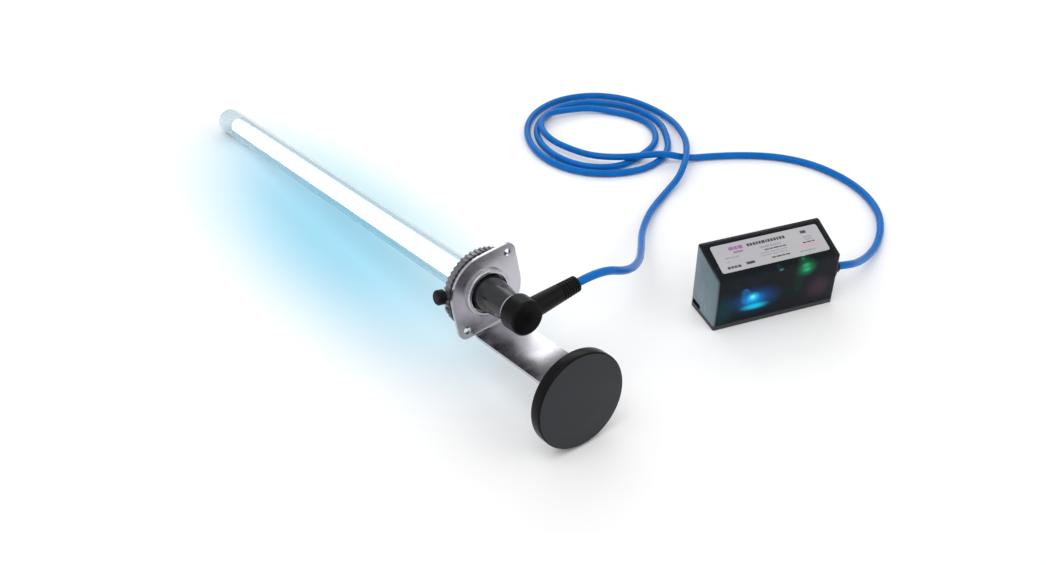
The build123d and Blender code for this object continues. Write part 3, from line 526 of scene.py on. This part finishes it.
LAMP_RUN = (
    (-94, 2, 47), (-75, 25, 33.5), (-60, 52, 22), (-44, 84, 10.5), (-23, 114, 4), (-1, 134, 2.6),
    (16, 146, 5.4), (29, 161, 9.3), (40, 181, 9.3), (47, 200, 6.8),
)
SUPPLY_RUN = (
    (21, 176.3, 7.5), (31, 173.2, 4.8), (41, 171.4, 2.9), (53, 170, 2.6), (78, 163, 2.6), (101, 152, 2.6),
    (119, 135, 2.6), (130, 112, 2.6), (134, 87, 2.6), (129.5, 62, 2.6), (119, 43, 2.6), (104, 26, 2.8),
    (87, 12.5, 6.5), (70, 1.5, 12.5), (56, -5.8, 19.2), (48, -6, 20.5),
)
STRAIGHT_START = 18.0


def lead_route():
    """The whole lead's control points, in metres, from the strain relief to the supply's gland."""
    start = lamp_place @ Vector(RELIEF_EXIT)
    laid = [Vector(point) * MM for point in (*LAMP_RUN, *coil_points(), *SUPPLY_RUN)]
    return [start, start + lamp_x * STRAIGHT_START * MM] + laid


class LAMPKIT_OT_lead(bpy.types.Operator):
    """The blue lead, from the connector through its loose coil to the power supply"""

    bl_idname = "lamp_kit.lead"
    bl_label = "Lead"

    def execute(self, context):
        route = lead_route()
        curve = bpy.data.curves.new("lead", "CURVE")
        curve.dimensions = "3D"
        spline = curve.splines.new("NURBS")
        spline.points.add(len(route) - 1)
        for point, place in zip(spline.points, route):
            point.co = (*place, 1.0)
        spline.order_u = 3
        spline.use_endpoint_u = True
        spline.resolution_u = 10
        curve.bevel_depth = sizes().cord_diameter / 2
        curve.bevel_resolution = 5
        curve.use_fill_caps = True
        curve.materials.append(lead_jacket())
        lead = bpy.data.objects.new("lead", curve)
        context.scene.collection.objects.link(lead)
        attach(lead, "root")
        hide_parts("lamp_lead", "lead_coil", "supply_lead")
        return {"FINISHED"}


# ---------------------------------------------------------------- connector

ARM_HEIGHT = 32.25
relief_place = placed(lamp_place @ Vector((0, 0, ARM_HEIGHT)), lamp_y, lamp_z, lamp_x)


class LAMPKIT_OT_connector(bpy.types.Operator):
    """The black connector: socket, grey band, round head and ribbed strain relief"""

    bl_idname = "lamp_kit.connector"
    bl_label = "Connector"

    def execute(self, context):
        refined("socket_shell", finish("gloss_black"), width=0.0004)
        refined("connector_band", finish("grey_moulding"), width=0.0002)
        refined("connector_head", finish("satin_black"))
        paint("contact_block", finish("white_ceramic"))
        paint("socket_contacts", finish("bright_brass"))
        start, end, root_r, tip_r, bore = 8.8, 38.0, 6.0, 4.8, 2.45
        arm_end, arm_r = 14.0, 5.25
        profile = [(arm_end, bore), (arm_end, arm_r), (start, arm_r), (start, root_r)]
        ribs_start, ribs_end, rib_count, groove = 26.0, end - 0.6, 6, 0.55
        pitch = (ribs_end - ribs_start) / rib_count
        for index in range(rib_count):
            low = ribs_start + index * pitch
            for share, sink in ((0.0, 0.0), (0.12, groove), (0.42, groove), (0.54, 0.0)):
                height = low + share * pitch
                outer = root_r + (tip_r - root_r) * (height - start) / (end - start)
                profile.append((height, outer - sink))
        profile += [(end, tip_r), (end, bore)]
        relief = turned(
            "strain_relief_ribbed", profile, relief_place, "root", finish("relief_rubber"),
            steps=48, width=0.00018,
        )
        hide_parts("strain_relief")
        return {"FINISHED"}


# ---------------------------------------------------------------- lamp

SLEEVE_R, SLEEVE_BORE, SLEEVE_LENGTH, SLEEVE_START = 9.5, 8.3, 352.0, -3.3
TUBE_R, TUBE_BORE, TUBE_TIP, TUBE_START = 5.5, 4.7, -341.5, -9.3
CORE_R, CORE_START = TUBE_BORE - 0.6, TUBE_START - 2.0
SLEEVE_DOME, TUBE_DOME = 14, 10
GLASS_EDGE = 0.00004


def domed(end, radius, count):
    """Points (height, radius) of a dome that closes a tube at its far end."""
    return [
        (end - radius * sin(pi / 2 * index / count), radius * cos(pi / 2 * index / count))
        for index in range(count + 1)
    ]


class LAMPKIT_OT_lamp(bpy.types.Operator):
    """The quartz sleeve with the lit lamp inside it"""

    bl_idname = "lamp_kit.lamp"
    bl_label = "Quartz lamp"

    def execute(self, context):
        outer = [(SLEEVE_START, SLEEVE_R)] + domed(-SLEEVE_LENGTH, SLEEVE_R, SLEEVE_DOME)
        inner = domed(-SLEEVE_LENGTH, SLEEVE_BORE, SLEEVE_DOME)[::-1] + [(SLEEVE_START, SLEEVE_BORE)]
        sleeve = turned(
            "quartz_sleeve_clear", outer + inner, lamp_place, "lamp_unit", quartz(),
            steps=72, width=GLASS_EDGE,
        )
        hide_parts("quartz_sleeve")
        dome = TUBE_TIP + TUBE_R
        floor = TUBE_START - 1.6
        outer = [(TUBE_START, 0), (TUBE_START, TUBE_R)] + domed(dome, TUBE_R, TUBE_DOME)
        inner = domed(dome, TUBE_BORE, TUBE_DOME)[::-1] + [(floor, TUBE_BORE), (floor, 0)]
        tube = turned(
            "lamp_tube_clear", outer + inner, lamp_place, "lamp_unit", finish("lamp_glass"),
            steps=48, width=GLASS_EDGE,
        )
        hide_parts("lamp_tube")
        core = [(CORE_START, 0), (CORE_START, CORE_R)] + domed(dome, CORE_R, TUBE_DOME)
        turned(
            "lit_discharge", core, lamp_place, "lamp_unit", lit_discharge(),
            steps=48, width=GLASS_EDGE,
        )
        paint("ceramic_cap", finish("white_ceramic"))
        paint("tip_spacer", finish("lamp_glass"))
        paint("wire_insulator", finish("white_ceramic"))
        for node in ("return_wire", "electrode_base_end", "electrode_tip_end"):
            paint(node, finish("nickel_wire"))
        return {"FINISHED"}


# ---------------------------------------------------------------- bracket and lock ring


class LAMPKIT_OT_bracket(bpy.types.Operator):
    """The bent stainless bracket with its collar, gasket, lock ring and clamp knob"""

    bl_idname = "lamp_kit.bracket"
    bl_label = "Bracket and lock ring"

    def execute(self, context):
        refined("mounting_bracket", finish("polished_stainless"))
        refined("lamp_collar", finish("turned_steel"), width=0.0002)
        refined("lock_ring", finish("anodised_black"), width=0.00012, angle=25.0)
        refined("lamp_base", finish("satin_black"), width=0.0002)
        refined("magnet_screw", finish("zinc_plating"), width=0.0001)
        refined("screw_washer", finish("zinc_plating"), width=0.0001)
        paint("ring_gasket", finish("moulded_rubber"))
        paint("grub_screw", finish("anodised_black"))
        paint("clamp_screw", finish("zinc_plating"))
        paint("contact_pins", finish("bright_brass"))
        ring_middle = lamp_place @ Vector((0, 0, RING_MIDDLE))
        knob_place = placed(ring_middle, lamp_z, lamp_z.cross(knob_out) * -1, knob_out)
        inner, outer, radius, bore, neck, deep = 25.1, 30.7, 4.3, 1.5, 3.0, 2.8
        profile = [
            (inner + deep, 0), (inner + deep, bore), (inner, bore), (inner, neck), (inner + 0.9, neck),
            (inner + 1.1, radius), (outer - 1.0, radius), (outer - 0.3, radius - 0.6),
            (outer, radius - 1.6), (outer - 0.3, 0),
        ]
        knob = turned(
            "clamp_knob_ribbed", profile, knob_place, "clamp_knob", finish("satin_black"),
            steps=60, width=0.0001,
        )
        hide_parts("clamp_knob")
        return {"FINISHED"}


# ---------------------------------------------------------------- magnet

MAGNET_PLACE = (0, -35.0, 69.6)
FACING = 0.9


class LAMPKIT_OT_magnet(bpy.types.Operator):
    """The rubber-covered round magnet at the end of the bracket's arm"""

    bl_idname = "lamp_kit.magnet"
    bl_label = "Magnet"

    def execute(self, context):
        place = placed(lamp_place @ Vector(MAGNET_PLACE), lamp_x, lamp_y, lamp_z)
        radius, thick, bush, edge, skin, seat = 28.5, 7.6, 4.5, 1.2, 0.8, 2.0
        turns = [radians(angle) for angle in (0, 22.5, 45, 67.5, 90)]
        arc = [(edge * (1 - cos(turn)), edge * (1 - sin(turn))) for turn in turns]
        back = [(height, radius - inset) for height, inset in arc]
        front = [(thick - height, radius - inset) for height, inset in reversed(arc)]
        inside = [(thick - skin, 0), (thick - skin, bush), (0, bush), (0, radius - edge - seat)]
        cover = turned(
            "magnet_cover_rubber", inside + back + front + [(thick, 0)], place, "lamp_unit",
            finish("magnet_rubber"), steps=128, width=0.00006,
        )
        cover.data.materials.append(finish("satin_black"))
        for face in cover.data.polygons:
            if abs(face.normal.dot(lamp_z)) < FACING:
                face.material_index = 1
        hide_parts("magnet_cover")
        paint("magnet_plate", finish("nickel_plating"))
        paint("magnet_slugs", finish("nickel_plating"))
        paint("magnet_bush", finish("zinc_plating"))
        return {"FINISHED"}


# ---------------------------------------------------------------- power supply

END_WALL = 0.95


class LAMPKIT_OT_supply_case(bpy.types.Operator):
    """The wedge-shaped smoked cover, its base, gland and grommet"""

    bl_idname = "lamp_kit.supply_case"
    bl_label = "Supply case"

    def execute(self, context):
        cover = refined("supply_cover", smoked_cover())
        # the end walls take the lighter copy of the smoke: painted light
        cover.data.materials.append(finish("smoked_end_wall_painted_light"))
        for face in cover.data.polygons:
            if abs(face.normal.x) > END_WALL:
                face.material_index = 1
        refined("supply_base", finish("dark_case"))
        refined("cord_gland", finish("satin_black"))
        refined("inlet_grommet", finish("moulded_rubber"))
        paint("gland_nut", finish("satin_black"))
        return {"FINISHED"}


INKS = ("label_ink", "label_grey_ink", "label_mauve_ink", "label_pink_ink")
LABEL_SLOPE = (0, 26.4, 9.7)
PRINT_LIFT = 0.00021
BAR_THICK, BAR_GAP = 0.05, 0.5
# each row in millimetres: ink, left end, middle below the label's top, bar height, bar lengths
LABEL_ROWS = (
    (2, -26.0, 4.3, 2.4, (3.2, 2.2, 3.0)),
    (2, -24.0, 7.3, 1.2, (6.5,)),
    (0, -13.5, 4.3, 2.0, (1.6, 1.6, 1.6, 1.2, 1.6, 2.2, 1.0, 1.6, 1.6, 1.6, 1.2, 1.8, 1.6)),
    (1, -6.0, 8.0, 1.0, (2.4, 3.2, 1.8, 2.8, 2.0)),
    (0, -4.0, 10.2, 0.8, (3.0, 2.2, 3.6, 1.6, 2.6)),
    (1, -31.0, 10.4, 0.8, (3.4, 2.6, 2.2)),
    (0, 22.0, 11.4, 0.8, (2.4, 3.0, 1.8)),
    (0, -2.0, 16.6, 0.9, (2.6, 3.4, 2.0, 3.0)),
    (1, 17.0, 17.2, 0.9, (3.0, 2.0, 2.6, 1.8)),
    (0, 24.0, 3.8, 2.0, (3.8,)),
    (1, 24.0, 7.6, 0.7, (5.6,)),
    (1, 24.5, 9.4, 0.7, (4.8,)),
    (1, -31.0, 13.2, 0.9, (1.4,)),
    (1, -8.0, 12.2, 0.6, (6.0, 7.0, 5.0)),
    (1, -8.0, 14.0, 0.6, (7.0, 4.0, 6.0)),
    (3, 20.0, 13.6, 2.2, (4.5, 3.0, 3.0)),
    (0, -32.5, 17.2, 1.6, (2.0, 1.6, 1.8, 2.2)),
    (0, -19.5, 16.6, 1.8, (5.6,)),
)


class LAMPKIT_OT_label(bpy.types.Operator):
    """The silver label, with plain bars where a maker would print its data"""

    bl_idname = "lamp_kit.label"
    bl_label = "Label"

    def execute(self, context):
        refined("label_plate", finish("label_silver"), width=0.00008)
        low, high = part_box("label_plate")
        slope = Vector(LABEL_SLOPE).normalized()
        normal = Vector((0, -slope.z, slope.y))
        middle = (low + high) / 2 + normal * PRINT_LIFT
        half = 0.5 * (high.y - low.y) / slope.y / MM
        place = placed(middle, Vector((1, 0, 0)), slope, normal)
        inks = [finish(name) for name in INKS]
        bm = bmesh.new()
        for ink, left, down, tall, lengths in LABEL_ROWS:
            at = left
            for length in lengths:
                size = Matrix.Diagonal((length, tall, BAR_THICK, 1))
                bar = Matrix.Translation((at + length / 2, half - down, 0.0)) @ size
                made = bmesh.ops.create_cube(bm, size=1.0, matrix=bar)["verts"]
                for face in {face for vert in made for face in vert.link_faces}:
                    face.material_index = ink
                at += length + BAR_GAP
        bm.transform(place)
        marks = new_piece("label_marks", bm, "root", inks[0])
        for ink in inks[1:]:
            marks.data.materials.append(ink)
        marks.data.shade_flat()
        return {"FINISHED"}


class LAMPKIT_OT_board(bpy.types.Operator):
    """The circuit board and everything that stands on it"""

    bl_idname = "lamp_kit.board"
    bl_label = "Circuit board"

    def execute(self, context):
        paint("circuit_board", finish("board_mask"))
        paint("board_screws", finish("zinc_plating"))
        paint("ballast_core", finish("grey_ferrite"))
        paint("ballast_winding", finish("winding_wire"))
        refined("electrolytic_capacitors", finish("shrink_sleeve"), width=0.0001)
        refined("film_capacitor", finish("film_case"))
        paint("fuse", finish("fuse_glass"))
        refined("heat_sink", finish("plain_aluminium"), width=0.0001)
        refined("power_transistors", finish("satin_black"), width=0.0002)
        refined("terminal_block", finish("terminal_green"), width=0.0002)
        paint("blue_led", finish("blue_lens"))
        paint("green_led", finish("green_lens"))
        paint("green_light_pipe", finish("light_guide"))
        return {"FINISHED"}


# ---------------------------------------------------------------- camera, floor and light

CAMERA_PLACE = (-0.3323, -0.4630, 0.4256)
CAMERA_TURN = (53.305, 0.0, -20.412)
CAMERA_LENS = 37.98
CAMERA_SENSOR = 36.0
CAMERA_NEAR, CAMERA_FAR = 0.01, 20.0
FLOOR_COLOUR = (0.97, 0.97, 0.97)
FLOOR_HALF, FLOOR_DROP = 6.0, 0.0002
SKY_STRENGTH = 0.72
WHITE = (1, 1, 1)
AIM = (0, 0.1, 0)
# name, place, width, height, power
SOFT_LIGHTS = (
    ("key", (-0.7, -0.2, 1.6), 1.2, 1.2, 9.0),
    ("fill", (0.9, -0.9, 1.1), 1.0, 1.0, 3.0),
    ("back", (0.3, 1.4, 1.0), 1.4, 0.7, 5.0),
)
# name, place, power, colour, radius
SPARKS = (
    ("blue_glow", (-0.0175, -0.0082, 0.024), 0.02, (0.02, 0.35, 1.0), 0.003),
    ("green_glow", (0.019, -0.0095, 0.037), 0.004, (0.02, 1.0, 0.25), 0.001),
)
# the lamp's glow painted on the floor: its middle along the lamp in millimetres, then metres, and its
# strength
GLOW_MIDDLE = -175.0
GLOW_LENGTH, GLOW_WIDTH, GLOW_SHIFT, GLOW_DEPTH = 0.27, 0.108, 0.006, 0.90


def light_object(name, kind, place, power, colour):
    """A light of a kind, linked into the scene at its place."""
    data = bpy.data.lights.new(name, kind)
    data.energy, data.color = power, colour
    light = bpy.data.objects.new(name, data)
    light.location = place
    bpy.context.scene.collection.objects.link(light)
    return light


def math_node(tree, operation, *values):
    """A math node fed with sockets or numbers."""
    node = tree.nodes.new("ShaderNodeMath")
    node.operation = operation
    for entry, value in zip(node.inputs, values):
        if isinstance(value, bpy.types.NodeSocket):
            tree.links.new(value, entry)
        else:
            entry.default_value = value
    return node.outputs["Value"]


def glowing_floor():
    """A pale floor with the lamp's light painted into its colour beside the lamp."""
    material = finish_of("pale_floor_painted_glow", FLOOR_COLOUR, (0.96, 0.96, 0.96), (0.8, 0.9), 3, 0.0, {})
    tree = material.node_tree
    link = tree.links.new
    middle = lamp_place @ Vector((0, 0, GLOW_MIDDLE))
    along = Vector((lamp_z.x, lamp_z.y, 0)).normalized()
    across = Vector((-along.y, along.x, 0))
    across = across if across.x < 0 else -across
    where = tree.nodes.new("ShaderNodeTexCoord")
    squares = []
    for direction, offset, spread in ((along, 0.0, GLOW_LENGTH), (across, GLOW_SHIFT, GLOW_WIDTH)):
        dot = tree.nodes.new("ShaderNodeVectorMath")
        dot.operation = "DOT_PRODUCT"
        dot.inputs[1].default_value = direction / spread
        link(where.outputs["Object"], dot.inputs[0])
        centre = (middle.dot(direction) + offset) / spread
        centred = math_node(tree, "SUBTRACT", dot.outputs["Value"], centre)
        squares.append(math_node(tree, "MULTIPLY", centred, centred))
    fall = tree.nodes.new("ShaderNodeMapRange")
    fall.interpolation_type = "SMOOTHERSTEP"
    fall.inputs["To Min"].default_value = GLOW_DEPTH
    fall.inputs["To Max"].default_value = 0.0
    link(math_node(tree, "SQRT", math_node(tree, "ADD", *squares)), fall.inputs["Value"])
    # painted glow: the floor's colour turns to the lamp's light near the lamp
    colour = colour_mix(tree, fall.outputs["Result"], FLOOR_COLOUR, looks().painted_glow_colour)
    link(colour, tree.nodes["Principled BSDF"].inputs["Base Color"])
    return material


class LAMPKIT_OT_stage(bpy.types.Operator):
    """The camera, the pale floor and the soft light"""

    bl_idname = "lamp_kit.stage"
    bl_label = "Camera, floor and light"

    def execute(self, context):
        data = bpy.data.cameras.new("camera")
        data.sensor_width = CAMERA_SENSOR
        data.lens = CAMERA_LENS
        data.clip_start, data.clip_end = CAMERA_NEAR, CAMERA_FAR
        camera = bpy.data.objects.new("camera", data)
        camera.location = CAMERA_PLACE
        camera.rotation_euler = [radians(turn) for turn in CAMERA_TURN]
        context.scene.collection.objects.link(camera)
        context.scene.camera = camera
        context.scene.view_settings.view_transform = "Standard"

        bm = bmesh.new()
        bmesh.ops.create_grid(bm, x_segments=2, y_segments=2, size=FLOOR_HALF)
        bmesh.ops.translate(bm, verts=bm.verts, vec=(0, 0, -FLOOR_DROP))
        mesh = bpy.data.meshes.new("floor")
        bm.to_mesh(mesh)
        bm.free()
        mesh.materials.append(glowing_floor())
        floor = bpy.data.objects.new("floor", mesh)
        context.scene.collection.objects.link(floor)

        world = bpy.data.worlds.new("studio")
        world.use_nodes = True
        sky = world.node_tree.nodes["Background"]
        sky.inputs["Color"].default_value = (*WHITE, 1)
        sky.inputs["Strength"].default_value = SKY_STRENGTH
        context.scene.world = world

        for name, place, width, height, power in SOFT_LIGHTS:
            light = light_object(name, "AREA", place, power, WHITE)
            light.data.shape = "RECTANGLE"
            light.data.size, light.data.size_y = width, height
            light.rotation_euler = (Vector(AIM) - Vector(place)).to_track_quat("-Z", "Y").to_euler()
        for name, place, power, colour, radius in SPARKS:
            light_object(name, "POINT", place, power, colour).data.shadow_soft_size = radius
        return {"FINISHED"}


# ---------------------------------------------------------------- panel and registration

STEPS = (
    LAMPKIT_OT_stage,
    LAMPKIT_OT_lead,
    LAMPKIT_OT_connector,
    LAMPKIT_OT_lamp,
    LAMPKIT_OT_bracket,
    LAMPKIT_OT_magnet,
    LAMPKIT_OT_supply_case,
    LAMPKIT_OT_label,
    LAMPKIT_OT_board,
)


class LAMPKIT_PT_panel(bpy.types.Panel):
    bl_idname = "LAMPKIT_PT_panel"
    bl_label = "Lamp kit"
    bl_space_type = "VIEW_3D"
    bl_region_type = "UI"
    bl_category = "Lamp kit"

    def draw(self, context):
        column = self.layout.column()
        for settings in (context.scene.lamp_kit_sizes, context.scene.lamp_kit_looks):
            for name in settings.bl_rna.properties.keys():
                if name not in ("rna_type", "name"):
                    column.prop(settings, name)
        for step in STEPS:
            column.operator(step.bl_idname)


CLASSES = (LampKitSizes, LampKitLooks, *STEPS, LAMPKIT_PT_panel)


def register():
    for kind in CLASSES:
        bpy.utils.register_class(kind)
    bpy.types.Scene.lamp_kit_sizes = PointerProperty(type=LampKitSizes)
    bpy.types.Scene.lamp_kit_looks = PointerProperty(type=LampKitLooks)


def unregister():
    """Takes them away again."""
    del bpy.types.Scene.lamp_kit_sizes
    del bpy.types.Scene.lamp_kit_looks
    for kind in reversed(CLASSES):
        bpy.utils.unregister_class(kind)


def main():
    """Builds the stage and every piece."""
    register()
    bpy.ops.lamp_kit.stage()
    bpy.ops.lamp_kit.lead()
    bpy.ops.lamp_kit.connector()
    bpy.ops.lamp_kit.lamp()
    bpy.ops.lamp_kit.bracket()
    bpy.ops.lamp_kit.magnet()
    bpy.ops.lamp_kit.supply_case()
    bpy.ops.lamp_kit.label()
    bpy.ops.lamp_kit.board()


if __name__ == "__main__":
    main()
